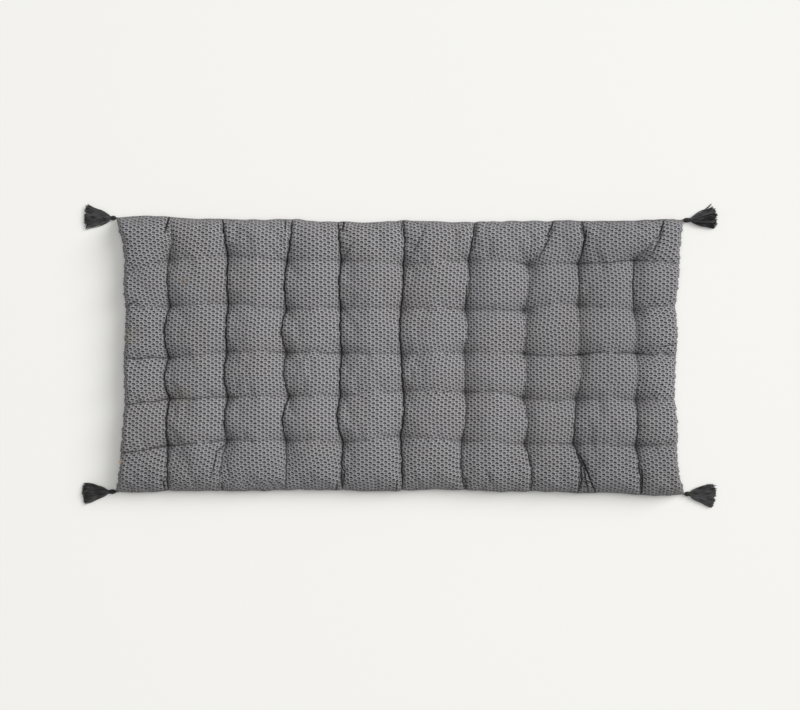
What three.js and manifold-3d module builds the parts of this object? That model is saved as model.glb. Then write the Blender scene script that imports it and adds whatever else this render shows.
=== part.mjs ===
// A tufted floor mattress with a yarn tassel at each corner, lying on a floor.
// Millimetres, +Z up, +X along the length, +Y towards the back edge.
// The origin is on the floor, under the middle of the whole outline.
import * as THREE from "three";
import { mergeVertices } from "three/addons/utils/BufferGeometryUtils.js";
import Module from "manifold-3d";

const wasm = await Module();
wasm.setup();

// Mattress sizes
const CROWN = 66; // floor to the top of a full pocket
const CROWN_UNEVEN = 2.5; // swell and slump of the filling from pocket to pocket
const SWELL = { x: 83, y: 61, skew: 190, start: 0.7 }; // the waves of that unevenness
const SEAM_HEIGHT = 27; // floor to the seam along the edges
const CORNER_SEAM_HEIGHT = 8; // floor to the seam at a corner's tip
const CORNER_REACH = 60; // how quickly the seam rises away from a corner
const EDGE_ROLL = 42; // width of the rounded border above the seam, along the long edges
const SIDE_ROLL = 16; // the same along the short sides
const UNDER_ROLL = 30; // width of the rounded border below the seam
const FOLD_ARCH = 9; // how far a pocket rounds down from its middle to a full fold
const VALLEY_DEPTH = 11; // soft valley along a fold, below that
const VALLEY_REACH = 16; // how far it reaches to each side
const VALLEY_CLOSED = 0.6; // share of the valley that a sharp slit leaves out
const VALLEY_EASE = 0.5; // how much shallower the valley is half way between two tufts
const SLIT_DEPTH = 18; // sharp slit where two pockets press together
const SLIT_WIDTH = 3;
const CREASE_DEPTH = 13; // deepest crease between two rows of pockets
const CREASE_EASE = 0.35; // how much shallower it is half way between two folds
const TUFT_DEPTH = 20; // how much deeper the tufting thread pulls a tuft
const TUFT_REACH = 24; // radius over which it does so
const TUFTED_THICKNESS = 6; // least filling between the two panels at a tuft
const UNDER_FOLD_RISE = 4; // folds, creases and tufts of the underside, above the floor
const UNDER_CREASE_RISE = 2;
const UNDER_TUFT_RISE = 10;

// Mesh fineness
const STEPS_ACROSS = 10; // across one pocket, along X
const STEPS_ALONG = 6; // along one pocket, along Y
const UNDER_RINGS = [3, 11, UNDER_ROLL]; // how far in each ring of the lower border lies
const UNDER_START = 0.48; // where the underside's grid starts, as a share of the outer pockets
const UNDER_ACROSS = 0.2; // where a fold of the underside ends, as a share of a pocket
const UNDER_ALONG = 0.25; // the same for a crease

// The short sides and the folds, left to right. x is where each meets the back edge, the five rows of tufts
// and the front edge. In each span between them, bow is its sideways curve, depth its share of the full arch
// and valley, and slit its share of the full slit.
const LEFT_SIDE = { x: [-599, -578, -574, -579, -577, -586, -599], bow: [6, -3, 0, -1, -1, 2] };
const FOLDS = [
  {
    x: [-481, -485, -482, -485, -484, -487, -486],
    bow: [6, -2, -9, -8, -3, 1],
    depth: [0.4, 0.7, 0.9, 0.9, 0.9, 0.7],
    slit: [0.1, 0.5, 0.8, 0.8, 0.8, 0.7],
  },
  {
    x: [-372, -361, -360, -363, -361, -363, -378],
    bow: [0, -1, -2, -6, -5, -3],
    depth: [0.9, 1.0, 1.0, 1.0, 1.0, 0.5],
    slit: [1.0, 0.9, 1.0, 0.8, 0.8, 0.1],
  },
  {
    x: [-226, -237, -238, -238, -232, -239, -240],
    bow: [3, -4, -10, -8, -10, 2],
    depth: [0.7, 0.9, 1.0, 0.9, 1.0, 0.5],
    slit: [0.9, 1.0, 0.7, 0.5, 0.8, 0.2],
  },
  {
    x: [-130, -123, -124, -122, -125, -119, -121],
    bow: [0, -4, -2, -2, -9, -2],
    depth: [0.9, 1.0, 1.0, 1.0, 1.0, 0.9],
    slit: [0.9, 1.0, 1.0, 0.9, 1.0, 0.8],
  },
  {
    x: [6, 7, 2, 3, 7, 1, 5],
    bow: [3, 2, -3, -1, 4, 1],
    depth: [0.9, 1.0, 1.0, 1.0, 1.0, 0.9],
    slit: [0.8, 1.0, 1.0, 1.0, 1.0, 1.0],
  },
  {
    x: [157, 144, 137, 135, 137, 130, 135],
    bow: [0, 4, 6, 0, 4, -5],
    depth: [0.5, 0.7, 0.8, 0.9, 0.8, 0.6],
    slit: [0.8, 0.3, 0.2, 0.2, 0.3, 0.5],
  },
  {
    x: [312, 268, 260, 261, 259, 261, 274],
    bow: [8, 4, 3, 4, 7, 6],
    depth: [0.4, 0.7, 0.7, 0.7, 0.8, 0.5],
    slit: [0, 0.05, 0.15, 0.1, 0.2, 0.5],
  },
  {
    x: [381, 374, 374, 377, 370, 364, 373],
    bow: [6, 0, 0, 4, -2, 9],
    depth: [0.4, 0.8, 0.6, 0.6, 0.8, 0.7],
    slit: [0.5, 0.4, 0.05, 0.1, 0.5, 0.6],
  },
  {
    x: [540, 491, 491, 495, 495, 495, 504],
    bow: [12, -5, 0, 0, 1, 0],
    depth: [0.3, 0.8, 0.7, 0.6, 0.8, 0.6],
    slit: [0, 0.5, 0.05, 0.05, 0.5, 0.5],
  },
];
const RIGHT_SIDE = { x: [597, 586, 577, 579, 575, 581, 600], bow: [-2, 2, 4, 0, 4, -5] };

// The long edges and the creases, back to front. y is where each meets the left side, the nine folds and
// the right side. In each column of pockets, bow is its curve towards the back, and depth a crease's share of
// CREASE_DEPTH.
const BACK_EDGE = {
  y: [292, 293, 289, 289, 283, 286, 282, 284, 285, 288, 287],
  bow: [3, -2, -2, -2, -3, -1, 1, 1, -2, 1],
};
const CREASES = [
  {
    y: [172, 201, 210, 200, 200, 191, 200, 191, 194, 202, 192],
    bow: [0, 0, 0, 0, 0, 0, 5, 2, -2, 0],
    depth: [0.5, 0.4, 0.4, 0.5, 0.4, 0.4, 0.9, 0.9, 1.2, 1.0],
  },
  {
    y: [99, 105, 111, 99, 101, 101, 99, 97, 107, 97, 105],
    bow: [0, 0, 0, 0, 0, 0, -2, 6, 0, 4],
    depth: [0.5, 0.5, 0.4, 0.5, 0.4, 0.5, 1.1, 0.8, 0.5, 0.9],
  },
  {
    y: [-4, -3, 10, 9, 7, 5, 9, 6, 4, 6, 2],
    bow: [0, 0, 0, 0, 0, 0, 0, -4, 3, 0],
    depth: [0.9, 0.5, 0.6, 0.7, 0.6, 0.5, 0.4, 0.9, 1.1, 1.0],
  },
  {
    y: [-102, -89, -85, -83, -83, -71, -75, -87, -89, -91, -90],
    bow: [0, 0, 0, 0, 0, 0, 6, -4, 0, 0],
    depth: [1.0, 0.9, 0.6, 0.6, 0.5, 0.6, 0.8, 0.8, 1.0, 0.8],
  },
  {
    y: [-203, -187, -175, -175, -180, -167, -177, -183, -183, -187, -185],
    bow: [0, 0, 0, 0, 0, 0, 0, 0, 0, 0],
    depth: [1.0, 0.9, 0.7, 0.7, 0.6, 0.5, 0.5, 0.8, 1.0, 1.0],
  },
];
const FRONT_EDGE = {
  y: [-285, -282, -282, -280, -281, -282, -280, -283, -287, -291, -290],
  bow: [-2, 0, -1, 1, -1, 2, -2, 1, 3, -2],
};

const COLUMN_LINES = [LEFT_SIDE, ...FOLDS, RIGHT_SIDE];
const ROW_LINES = [BACK_EDGE, ...CREASES, FRONT_EDGE];
const COLUMNS = COLUMN_LINES.length - 1;
const ROWS = ROW_LINES.length - 1;

// Tassel sizes
const SEAT_GAP = 0.3; // between a tassel's stem and the corner's tip
const STEM_RADIUS = 2.2;
const STEM_LENGTH = 2;
const HEAD_RADIUS = 4.8;
const HEAD_FULL = { from: 0.45, to: 0.75 }; // where the head is fullest, as shares of the way to the neck
const NECK_RADIUS = 3.9;
const COLLAR_RADIUS = 6.6; // where the locks come out
const COLLAR_WIDTH = 1;
const NECK_SHARE = 0.62; // of the head's length, from the stem to the neck
const HEAD_SIDES = 14;
const ROOT_DEPTH = 2.5; // how far a lock's root is buried in the collar
const ROOT_THICKNESS = 1.2;
const ROOT_INSET = 0.8; // between the outermost roots and the collar's rim
const LAYERS = [8, 9, 8]; // locks in each layer, from the floor up
const ROOT_RISE = 3.4; // between two layers at the collar
const LOCK_THICKNESS = 3.2; // of a lock near its free end
const LAYER_GAP = 0.4;
const LOCK_STEPS = 4;
const SKIRT_FLARE = 0.65; // how straight the fan opens from the collar, 1 for straight sides
const SETTLE_SHARE = 0.75; // share of a lock's length over which it comes down to rest
const TIP_SHARE = 0.7; // width of a lock's free end, of its own width
const LOCK_FILL = 0.8; // a lock's share of the room it has beside its neighbours
const TRIM_UNEVEN = 0.13; // how unevenly the free ends are trimmed
const TRIM_STEP = { lock: 7.3, layer: 4.1 }; // how it varies from lock to lock and layer to layer
const TRIM_ROUND = 0.1; // how much shorter the outer locks are

// One row for each tassel. corner counts round the plan from the back left. heading is in degrees from +X.
// head is the length of the bound head, length the whole tassel, spread the width of its free end, and
// sway its sideways curve.
const TASSELS = [
  { name: "left_back", corner: 0, heading: 178, head: 16, length: 70, spread: 46, sway: -2 },
  { name: "right_back", corner: 1, heading: 4, head: 23, length: 75, spread: 44, sway: 2 },
  { name: "right_front", corner: 2, heading: -3, head: 16, length: 69, spread: 45, sway: -1 },
  { name: "left_front", corner: 3, heading: 182, head: 23, length: 74, spread: 43, sway: 1 },
];

const coverCloth = new THREE.MeshStandardMaterial({ color: 0x757476, roughness: 0.95, metalness: 0 });
const tasselYarn = new THREE.MeshStandardMaterial({ color: 0x313132, roughness: 0.9, metalness: 0 });

const lerp = THREE.MathUtils.lerp;
const bulge = (t) => Math.sin(Math.PI * t);
const quarterRound = (t) => Math.sqrt(1 - (1 - Math.min(t, 1)) ** 2);
const valley = (t) => 1 - quarterRound(t);

// Places from 0 to count, closer together beside each whole number, where folds and edges turn sharply.
function gradedPlaces(count, steps) {
  const places = [];
  for (let k = 0; k < count * steps; k++) {
    const share = (k % steps) / steps;
    places.push(Math.floor(k / steps) + (1 - bulge(0.5 + share)) / 2);
  }
  return [...places, count];
}

// Which span a place falls in, and how far through it.
function spanOf(place, count) {
  const index = Math.min(Math.floor(place), count - 1);
  return { index, share: place - index };
}

// A value listed span by span, eased from the middle of one span to the middle of the next.
function alongSpans(values, place) {
  const middle = THREE.MathUtils.clamp(place - 0.5, 0, values.length - 1);
  const { index, share } = spanOf(middle, values.length - 1);
  return lerp(values[index], values[index + 1], share);
}

// The plan of column line i (a short side or a fold) at a row place q.
function linePoint(i, q) {
  const line = COLUMN_LINES[i];
  const { index, share } = spanOf(q, ROWS);
  const x = lerp(line.x[index], line.x[index + 1], share) + line.bow[index] * bulge(share);
  const y = lerp(ROW_LINES[index].y[i], ROW_LINES[index + 1].y[i], share);
  return new THREE.Vector2(x, y);
}

// The plan of any grid place, p across the columns and q along the rows.
function planPoint(p, q) {
  const column = spanOf(p, COLUMNS);
  const row = spanOf(q, ROWS);
  const point = linePoint(column.index, q).lerp(linePoint(column.index + 1, q), column.share);
  const back = ROW_LINES[row.index];
  const front = ROW_LINES[row.index + 1];
  const bow = lerp(back.bow[column.index], front.bow[column.index], row.share);
  point.y += bow * bulge(column.share);
  return point;
}

const corners = [planPoint(0, 0), planPoint(COLUMNS, 0), planPoint(COLUMNS, ROWS), planPoint(0, ROWS)];
const tufts = [];
for (let i = 1; i < COLUMNS; i++) {
  for (let j = 1; j < ROWS; j++) tufts.push(planPoint(i, j));
}

const nearest = (points, point) => Math.min(...points.map((other) => other.distanceTo(point)));

// The seam's height, which drops towards the corners.
function seamHeight(point) {
  const drop = Math.exp(-nearest(corners, point) / CORNER_REACH);
  return lerp(SEAM_HEIGHT, CORNER_SEAM_HEIGHT, drop);
}

// How far a fold pulls a point down, at a distance from it in a pocket of this half width. The valley is
// deepest beside the tufts.
function foldPull(fold, q, distance, halfWidth) {
  const depth = alongSpans(fold.depth, q);
  const slit = alongSpans(fold.slit, q);
  const fade = Math.exp(-((distance / VALLEY_REACH) ** 1.5)) * (1 - VALLEY_EASE * bulge(q % 1));
  const soft = VALLEY_DEPTH * depth * (1 - VALLEY_CLOSED * slit) * fade;
  const sharp = SLIT_DEPTH * slit * Math.exp(-distance / SLIT_WIDTH);
  return FOLD_ARCH * depth * valley(distance / halfWidth) + soft + sharp;
}

// How far the folds beside a pocket pull a grid place down.
function foldDrop(p, q) {
  const { index, share } = spanOf(p, COLUMNS);
  const width = linePoint(index, q).distanceTo(linePoint(index + 1, q));
  const left = index > 0 ? foldPull(FOLDS[index - 1], q, share * width, width / 2) : 0;
  const right = index < COLUMNS - 1 ? foldPull(FOLDS[index], q, (1 - share) * width, width / 2) : 0;
  return Math.max(left, right);
}

// How far the nearest crease pulls a grid place down, least half way between two folds.
function creaseDrop(p, q) {
  const { index, share } = spanOf(q, ROWS);
  const back = index > 0 ? alongSpans(CREASES[index - 1].depth, p) * valley(share * 2) : 0;
  const front = index < ROWS - 1 ? alongSpans(CREASES[index].depth, p) * valley((1 - share) * 2) : 0;
  return CREASE_DEPTH * Math.max(back, front) * (1 - CREASE_EASE * bulge(p % 1));
}

// A point of the upper surface at a grid place.
function topPoint(p, q) {
  const plan = planPoint(p, q);
  const swell = Math.sin(plan.x / SWELL.x + SWELL.start) * Math.cos(plan.y / SWELL.y + plan.x / SWELL.skew);
  const tuftDrop = TUFT_DEPTH * Math.exp(-nearest(tufts, plan) / TUFT_REACH);
  const pulled = CROWN + CROWN_UNEVEN * swell - foldDrop(p, q) - creaseDrop(p, q) - tuftDrop;
  const full = Math.max(pulled, UNDER_TUFT_RISE + TUFTED_THICKNESS);
  const toSide = nearest([planPoint(0, q), planPoint(COLUMNS, q)], plan);
  const toLong = nearest([planPoint(p, 0), planPoint(p, ROWS)], plan);
  const roll = quarterRound(toSide / SIDE_ROLL) * quarterRound(toLong / EDGE_ROLL);
  return new THREE.Vector3(plan.x, plan.y, lerp(seamHeight(plan), full, roll));
}

// A point of the lower border, inset from a point of the seam.
function borderPoint(seam, inset) {
  const x = seam.x * (1 - inset / corners[1].x);
  const y = seam.y * (1 - inset / corners[1].y);
  return new THREE.Vector3(x, y, seam.z * valley(inset / UNDER_ROLL));
}

// Places across the underside: each fold or crease, where it runs out on both sides, and the outer ends.
function underPlaces(count, reach) {
  const places = [UNDER_START];
  for (let k = 1; k < count; k++) places.push(k - reach, k, k + reach);
  return [...places, count - UNDER_START];
}

// A point of the underside: on the floor, but for the folds, creases and tufts.
function underPoint(p, q) {
  const plan = planPoint(p, q);
  const inside = p > 0.5 && p < COLUMNS - 0.5 && q > 0.5 && q < ROWS - 0.5;
  const onFold = Number.isInteger(p);
  const onCrease = Number.isInteger(q);
  let rise = 0;
  if (inside && onFold) rise = UNDER_FOLD_RISE;
  if (inside && onCrease) rise = UNDER_CREASE_RISE;
  if (onFold && onCrease) rise = UNDER_TUFT_RISE;
  return new THREE.Vector3(plan.x, plan.y, rise);
}

// The border of a grid of points, once round, counter-clockwise from above.
function borderOf(grid) {
  const front = grid.map((line) => line.at(-1)).slice(0, -1);
  const right = grid.at(-1).slice(1).reverse();
  const back = grid.map((line) => line[0]).slice(1).reverse();
  const left = grid[0].slice(0, -1);
  return [...front, ...right, ...back, ...left];
}

// A closed geometry from a list of triangles' corners.
function geometryOf(points) {
  return mergeVertices(new THREE.BufferGeometry().setFromPoints(points), 1e-3);
}

function mattressGeometry() {
  const points = [];
  const quad = (a, b, c, d) => points.push(a, b, c, a, c, d);

  // The upper surface
  const across = gradedPlaces(COLUMNS, STEPS_ACROSS);
  const along = gradedPlaces(ROWS, STEPS_ALONG);
  const top = across.map((p) => along.map((q) => topPoint(p, q)));
  for (let i = 0; i < across.length - 1; i++) {
    for (let j = 0; j < along.length - 1; j++) {
      quad(top[i][j], top[i][j + 1], top[i + 1][j + 1], top[i + 1][j]);
    }
  }

  // The lower border, from the seam down to the floor
  const seam = borderOf(top);
  let upper = seam;
  for (const inset of UNDER_RINGS) {
    const lower = seam.map((point) => borderPoint(point, inset));
    for (let k = 0; k < seam.length; k++) {
      const next = (k + 1) % seam.length;
      quad(upper[k], lower[k], lower[next], upper[next]);
    }
    upper = lower;
  }

  // The underside, and the flat band between it and the lower border
  const underAcross = underPlaces(COLUMNS, UNDER_ACROSS);
  const underAlong = underPlaces(ROWS, UNDER_ALONG);
  const under = underAcross.map((p) => underAlong.map((q) => underPoint(p, q)));
  for (let i = 0; i < underAcross.length - 1; i++) {
    for (let j = 0; j < underAlong.length - 1; j++) {
      quad(under[i][j], under[i + 1][j], under[i + 1][j + 1], under[i][j + 1]);
    }
  }
  const inner = borderOf(under);
  const places = [...upper, ...inner];
  const plan = (point) => new THREE.Vector2(point.x, point.y);
  for (const [a, b, c] of THREE.ShapeUtils.triangulateShape(upper.map(plan), [inner.map(plan)])) {
    points.push(places[a], places[c], places[b]);
  }
  return geometryOf(points);
}

// A solid for joining, from a closed geometry.
function solidOf(geometry) {
  const bare = geometry.clone();
  bare.deleteAttribute("normal");
  bare.deleteAttribute("uv");
  const merged = mergeVertices(bare, 1e-3);
  const vertProperties = merged.getAttribute("position").array;
  const triVerts = new Uint32Array(merged.index.array);
  return new wasm.Manifold(new wasm.Mesh({ numProp: 3, vertProperties, triVerts }));
}

function geometryFrom(solid) {
  const { vertProperties, triVerts } = solid.getMesh();
  const geometry = new THREE.BufferGeometry();
  geometry.setAttribute("position", new THREE.BufferAttribute(vertProperties, 3));
  return geometry.setIndex(new THREE.BufferAttribute(triVerts, 1));
}

// The bound head of a tassel, along +X from its stem.
function headGeometry(length) {
  const neck = length * NECK_SHARE;
  const profile = [
    { radius: 0, place: 0 },
    { radius: STEM_RADIUS, place: 0 },
    { radius: STEM_RADIUS, place: STEM_LENGTH },
    { radius: HEAD_RADIUS, place: neck * HEAD_FULL.from },
    { radius: HEAD_RADIUS, place: neck * HEAD_FULL.to },
    { radius: NECK_RADIUS, place: neck },
    { radius: COLLAR_RADIUS, place: length - COLLAR_WIDTH },
    { radius: COLLAR_RADIUS, place: length },
    { radius: 0, place: length },
  ];
  const outline = profile.map(({ radius, place }) => new THREE.Vector2(radius, place));
  return new THREE.LatheGeometry(outline, HEAD_SIDES).rotateZ(-Math.PI / 2);
}

// A lock of yarn: four sides along its centre line, with both ends closed.
function lockGeometry(sections) {
  const square = [[-0.5, -0.5], [0.5, -0.5], [0.5, 0.5], [-0.5, 0.5]];
  const rings = sections.map(({ x, y, z, width, thickness }) =>
    square.map(([across, up]) => new THREE.Vector3(x, y + across * width, z + up * thickness)),
  );
  const points = [];
  const quad = (a, b, c, d) => points.push(a, b, c, a, c, d);
  for (let k = 0; k < rings.length - 1; k++) {
    for (let n = 0; n < 4; n++) {
      const m = (n + 1) % 4;
      quad(rings[k][n], rings[k][m], rings[k + 1][m], rings[k + 1][n]);
    }
  }
  quad(...rings.at(-1));
  quad(...rings[0].reverse());
  return geometryOf(points);
}

// The sections of lock n of a layer, from its root in the collar to where it lies on the floor.
function lockSections({ head, length, spread, sway }, layer, n) {
  const side = ((n + 0.5) / LAYERS[layer]) * 2 - 1;
  const level = layer - (LAYERS.length - 1) / 2;
  const rootHalf = Math.sqrt((COLLAR_RADIUS - ROOT_INSET) ** 2 - (level * ROOT_RISE) ** 2);
  const rootHeight = CORNER_SEAM_HEIGHT + level * ROOT_RISE;
  const restHeight = LOCK_THICKNESS / 2 + layer * (LOCK_THICKNESS + LAYER_GAP);
  const uneven = (TRIM_UNEVEN * (1 + Math.sin(TRIM_STEP.lock * n + TRIM_STEP.layer * layer + length))) / 2;
  const start = head - ROOT_DEPTH;
  const reach = (length - start) * (1 - uneven - TRIM_ROUND * side * side);
  const sections = [];
  for (let k = 0; k <= LOCK_STEPS; k++) {
    const share = k / LOCK_STEPS;
    const half = lerp(rootHalf, spread / 2, share ** SKIRT_FLARE);
    const settled = THREE.MathUtils.smoothstep(share, 0, SETTLE_SHARE);
    const tip = k === LOCK_STEPS ? TIP_SHARE : 1;
    sections.push({
      x: start + reach * share,
      y: side * half + sway * share * share,
      z: lerp(rootHeight, restHeight, settled),
      width: ((2 * half) / LAYERS[layer]) * LOCK_FILL * tip,
      thickness: lerp(ROOT_THICKNESS, LOCK_THICKNESS, settled),
    });
  }
  return sections;
}

// A tassel lying beside its corner: the head with its locks, one solid.
function tasselMesh(tassel) {
  let solid = solidOf(headGeometry(tassel.head).translate(0, 0, CORNER_SEAM_HEIGHT));
  LAYERS.forEach((count, layer) => {
    for (let n = 0; n < count; n++) {
      solid = solid.add(solidOf(lockGeometry(lockSections(tassel, layer, n))));
    }
  });
  const mesh = new THREE.Mesh(geometryFrom(solid), tasselYarn);
  mesh.name = `tassel_${tassel.name}`;
  const heading = THREE.MathUtils.degToRad(tassel.heading);
  const corner = corners[tassel.corner];
  const x = corner.x + SEAT_GAP * Math.cos(heading);
  const y = corner.y + SEAT_GAP * Math.sin(heading);
  mesh.position.set(x, y, 0);
  mesh.rotation.z = heading;
  return mesh;
}

const mattress = new THREE.Mesh(mattressGeometry(), coverCloth);
mattress.name = "mattress";

const floorMattress = new THREE.Group();
floorMattress.add(mattress, ...TASSELS.map(tasselMesh));

// The middle of the whole outline goes over the origin.
const middle = new THREE.Box3().setFromObject(floorMattress, true).getCenter(new THREE.Vector3());
for (const piece of floorMattress.children) {
  piece.position.x -= middle.x;
  piece.position.y -= middle.y;
}

export default floorMattress;
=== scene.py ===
import math
import bpy
import numpy as np
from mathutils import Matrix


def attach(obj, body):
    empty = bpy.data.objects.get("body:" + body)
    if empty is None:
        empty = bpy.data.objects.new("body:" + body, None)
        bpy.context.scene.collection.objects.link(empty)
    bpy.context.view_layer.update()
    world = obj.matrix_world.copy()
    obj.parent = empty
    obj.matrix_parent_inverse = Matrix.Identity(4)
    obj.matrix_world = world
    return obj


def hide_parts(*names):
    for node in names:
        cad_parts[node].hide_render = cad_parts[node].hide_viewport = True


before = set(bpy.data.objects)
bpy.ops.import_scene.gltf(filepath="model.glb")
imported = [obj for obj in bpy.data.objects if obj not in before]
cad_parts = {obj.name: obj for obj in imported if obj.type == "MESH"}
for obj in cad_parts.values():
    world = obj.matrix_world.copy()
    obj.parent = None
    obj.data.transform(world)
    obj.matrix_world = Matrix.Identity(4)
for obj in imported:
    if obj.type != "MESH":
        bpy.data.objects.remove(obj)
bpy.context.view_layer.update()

# A tufted floor mattress with a yarn tassel at each corner. Sizes are in mm, and meshes are made in metres.
MM = 0.001
SHIFT = (0.46, -1.22)  # from the middle of the tables to the row's origin
RNG = np.random.default_rng(7)
TINY = 1e-9  # keeps a division safe

# Height and edge of the mattress
CROWN = 66  # floor to the top of a full pocket
CROWN_UNEVEN = 2.5  # slow rise and fall of the filling
SWELL = dict(length_x=83, start=0.7, length_y=61, slant=190)
SEAM_HEIGHT = 27  # floor to the seam
CORNER_SEAM_HEIGHT = 8  # floor to the seam at a corner
CORNER_REACH = 60  # the seam drops to its corners over this length
EDGE_ROLL = 42  # rounding of the upper panel at the long edges
SIDE_ROLL = 16  # the same at the short sides
EDGE_UNEVEN = 0.6  # raggedness of the long edges
EDGE_UNEVEN_REACH = 15  # how far in the raggedness goes
NOTCH = 1.2  # a fold draws the long edge in by this much
NOTCH_REACH = 5  # half width of such a notch
NOTCH_LENGTH = 12  # how far in a notch goes

# Folds, creases and tufts
FOLD_ARCH = 9  # depth of the arch between two folds
HOLLOW_REACH = 14  # half width of the round hollow at a soft line
HOLLOW_POWER = 1.3
VALLEY_DEPTH = 9.5  # depth of the soft valley at a fold
VALLEY_REACH = 16  # half width of that valley
VALLEY_POWER = 1.5
VALLEY_EASE = 0.5  # share of the valley lost halfway between two tufts
VALLEY_SHARP = 0.6  # share of the valley lost where the fold is sharp
SLIT_DEPTH = 22  # depth of the slit where two pockets meet
SLIT_WIDTH = 1.2  # half width of that slit
SLIT_POWER = 1.2
SLIT_UNEVEN = 0.3  # how much the slit's width changes
SLIT_WAVES = ((13, 2), (31, 5))  # rate along the line, and step from line to line
FOLD_WAVER = 0.9  # sideways waver of a fold
FOLD_WAVES = ((19, 2.3), (43, 4.1), (71, 1))  # the same for a fold
CREASE_DEPTH = 12  # depth of a crease along a row
CREASE_EASE = 0.35  # share of the crease lost halfway between two tufts
CREASE_WAVER = 1.5  # waver of a crease
CREASE_WAVES = (9.1, 2.7)  # rates of that waver along and across the row
NICK_DEPTH = 6  # depth of the sharp line in a crease
NICK_BASE = 0.2  # share of it that is left far from a tuft
NICK_REACH = 30  # how far from a tuft it fades
TUFT_DEPTH = 16  # pull of a tuft
TUFT_REACH = 26  # how far that pull reaches
TUFT_CORE = 6  # further pull close to the thread
TUFT_CORE_REACH = 6
TUFTED_THICKNESS = 3  # what is left between the panels at a tuft

# Small unevenness of the upper panel
SLUMPS = dict(lengths=(45, 110), count=14, size=0.9)
WRINKLES = dict(lengths=(22, 45), count=20, size=0.35)
PUCKERS = 8  # puckers that run out from each tuft
PUCKER_TURN = 0.3  # radians off an even star
PUCKER_START = (3, 7)  # from the tuft to the pucker's start
PUCKER_END = (14, 34)
PUCKER_DEPTH = (0.8, 3.0)
PUCKER_WIDTH = (2.0, 3.6)
PINCH_FULL = 0.6  # share of a pinch's listed depth that is modelled
GROOVE_REACH = 4  # half widths beyond which a groove is nil
GROOVE_START = 0.25  # depth at the ends of a groove
GROOVE_EASE = 5  # how fast it deepens from its ends
GROOVE_POWER = 1.3
SEAM_PUCKER = 0.45  # depth of the puckers along the seam
SEAM_PUCKER_REACH = 14
# size, length, sway and the sway's length of the ripples
SEAM_RIPPLES = ((1, 3.1, 2, 23), (0.7, 5.3, 1.3, 31))
EDGE_RIPPLES = ((1, 11, 2, 43), (0.7, 6.1, 1.6, 29))

# Shade in the nips
NIP_REACH = 9.0  # beyond this a point belongs to no nip
NIP_FULL = 4  # depth at which a nip is fully dark
NIP_WIDTHS = (1.7, 1.7, 1.0, 1.0, 1.0)  # pinches, pinches, creases, folds, seam
NIP_EDGE = (2, 0.3)  # widths at which the shade starts and is full
NIP_BROKEN = (0.2, 0.5)  # noise levels between which a nip is broken up
NIP_GAIN = 1.4  # shade of a pinch for each mm of its depth
NIP_MIDDLE = 1.15  # shade in the middle of a pinch, cut off at 1
NIP_FALL = 1.3  # fall of the shade to the pinch's ends
NIP_POWER = 0.6
CREASE_NIP = 3.5  # shade of the sharpest crease
CREASE_NIP_BASE = 0.1  # share of it everywhere
CREASE_NIP_SHARP = 0.5  # further share where the crease is sharp
CREASE_NIP_REACH = 20  # how far from a tuft it is dark
FOLD_NIP = 4  # shade of the sharpest fold
SEAM_SHADE = 0.8
SEAM_IN = 2.2  # from the rim to the shade beside the seam

# Lower panel
UNDER_ROLL = 30  # rounding of the lower panel
UNDER_FOLD_RISE = 4
UNDER_CREASE_RISE = 2
UNDER_TUFT_RISE = 10
UNDER_FOLD_REACH = 0.2  # of a span
UNDER_CREASE_REACH = 0.25
UNDER_TUFT_REACH = 24
UNDER_EASE = 50  # the rises start over this length
UNDER_START = 0.7  # and from this share of it inside the edge
UNDER_TAKE_UP = 0.8  # share of the seam's height that the cloth takes up

# Grid and cloth simulation
STEPS_ACROSS = 40  # steps from one fold to the next
STEPS_ALONG = 36  # steps from one crease to the next
UNDER_STRIDE = 4  # the lower panel takes every fourth line
FIRST_STEP = 0.13  # the step beside a line, as a share of a full step
STEP_GROWTH = 1.5
CLOTH_STRIDE = 2  # the simulation takes every second line
CLOTH_HELD = 0.06  # of a span, held at each side of a sharp fold
CREASE_HELD = 0.3  # of a span, held at each side of a tuft
HELD_SHARP = 0.2  # folds sharper than this are held
CLOTH_FRAMES = 20
CLOTH_CAP = 5  # longest move of a point
CLOTH_SETTINGS = dict(
    vertex_group_mass="held", quality=6, mass=0.2, tension_stiffness=20, compression_stiffness=20,
    shear_stiffness=4, bending_stiffness=0.05, shrink_min=-0.03, use_pressure=True, uniform_pressure_force=4)

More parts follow.
